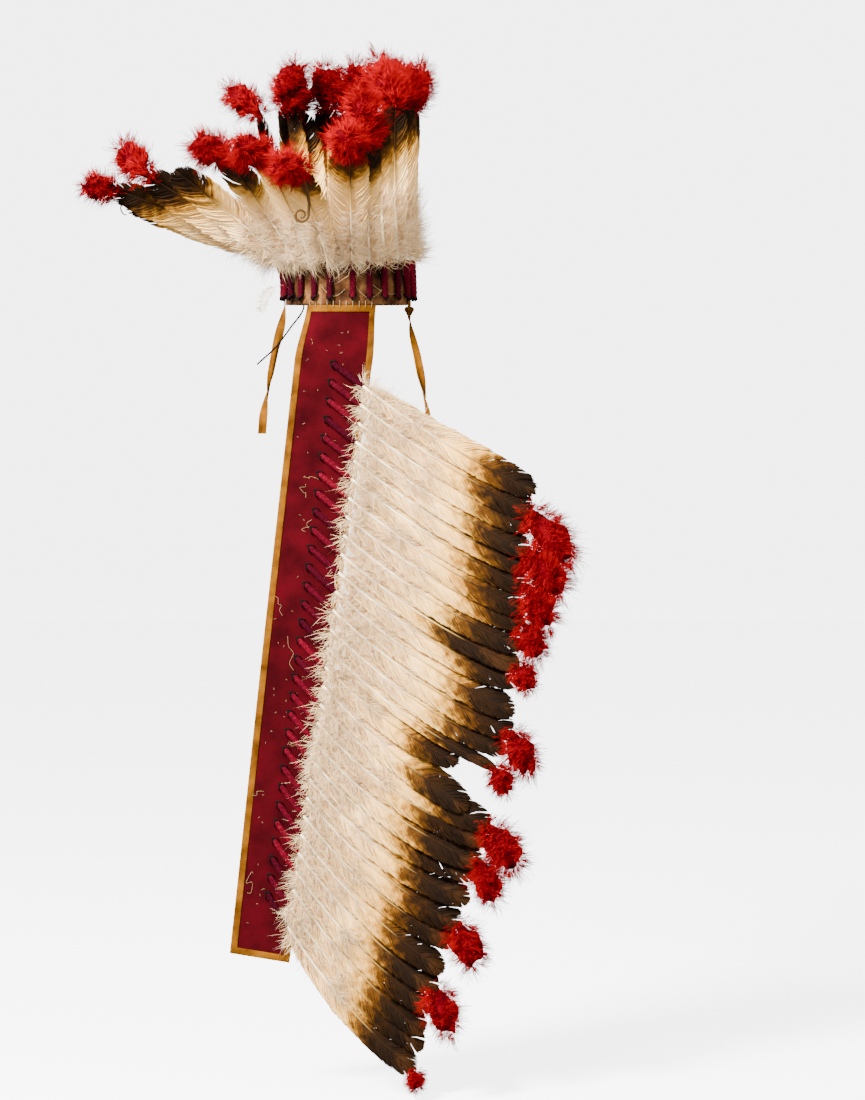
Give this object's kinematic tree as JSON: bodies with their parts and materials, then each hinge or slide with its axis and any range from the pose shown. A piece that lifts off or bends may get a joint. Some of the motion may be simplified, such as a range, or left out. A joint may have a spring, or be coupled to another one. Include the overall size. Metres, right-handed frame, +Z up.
{
  "type": "feathered headdress with one trailer",
  "caption": "Hide skull cap with a crown of plumed feathers and one long cloth trailer of laced feathers, in the form it has when worn.",
  "frame": {"origin": "middle of the head opening, level with the cap's rim", "axes": "+Z up through the crown, -Y the way the wearer faces, +X the wearer's left"},
  "size_m": [0.6487, 0.5001, 1.3509],
  "materials": {
    "cap_hide": "thin tanned hide, brown ochre, matt and soiled, with a folded cuff",
    "red_wool": "milled red wool cloth, matt, with a short nap",
    "ochre_ribbon": "ochre cotton ribbon, fine plain weave, slightly puckered where it is sewn",
    "feather": "large wing and tail feathers, cream with a golden and dark brown tip, white down above a red cloth wrap, dyed red plume on the tip",
    "dark_lace": "stiff dark hide lace, worn and matt"
  },
  "bodies": {
    "root": {"skull_cap": "cap_hide", "crown_feather_01": "feather", "crown_feather_02": "feather", "crown_feather_03": "feather", "crown_feather_04": "feather", "crown_feather_05": "feather", "crown_feather_06": "feather", "crown_feather_07": "feather", "crown_feather_08": "feather", "crown_feather_09": "feather", "crown_feather_10": "feather", "crown_feather_11": "feather", "crown_feather_12": "feather", "crown_feather_13": "feather", "crown_feather_14": "feather", "crown_feather_15": "feather", "crown_feather_16": "feather", "crown_feather_17": "feather", "crown_feather_18": "feather", "crown_feather_19": "feather", "crown_feather_20": "feather", "crown_feather_21": "feather", "crown_feather_22": "feather", "crown_feather_23": "feather", "crown_feather_24": "feather", "trailer_cloth": "red_wool", "trailer_binding": "ochre_ribbon", "trailer_feather_01": "feather", "trailer_feather_02": "feather", "trailer_feather_03": "feather", "trailer_feather_04": "feather", "trailer_feather_05": "feather", "trailer_feather_06": "feather", "trailer_feather_07": "feather", "trailer_feather_08": "feather", "trailer_feather_09": "feather", "trailer_feather_10": "feather", "trailer_feather_11": "feather", "trailer_feather_12": "feather", "trailer_feather_13": "feather", "trailer_feather_14": "feather", "trailer_feather_15": "feather", "trailer_feather_16": "feather", "trailer_feather_17": "feather", "trailer_feather_18": "feather", "trailer_feather_19": "feather", "trailer_feather_20": "feather", "trailer_feather_21": "feather", "trailer_feather_22": "feather", "trailer_feather_23": "feather", "trailer_feather_24": "feather", "trailer_feather_25": "feather", "trailer_feather_26": "feather", "trailer_feather_27": "feather", "trailer_feather_28": "feather", "trailer_feather_29": "feather", "trailer_feather_30": "feather", "tie_left": "ochre_ribbon", "tie_right": "ochre_ribbon", "lace_end": "dark_lace"}
  },
  "joints": []
}
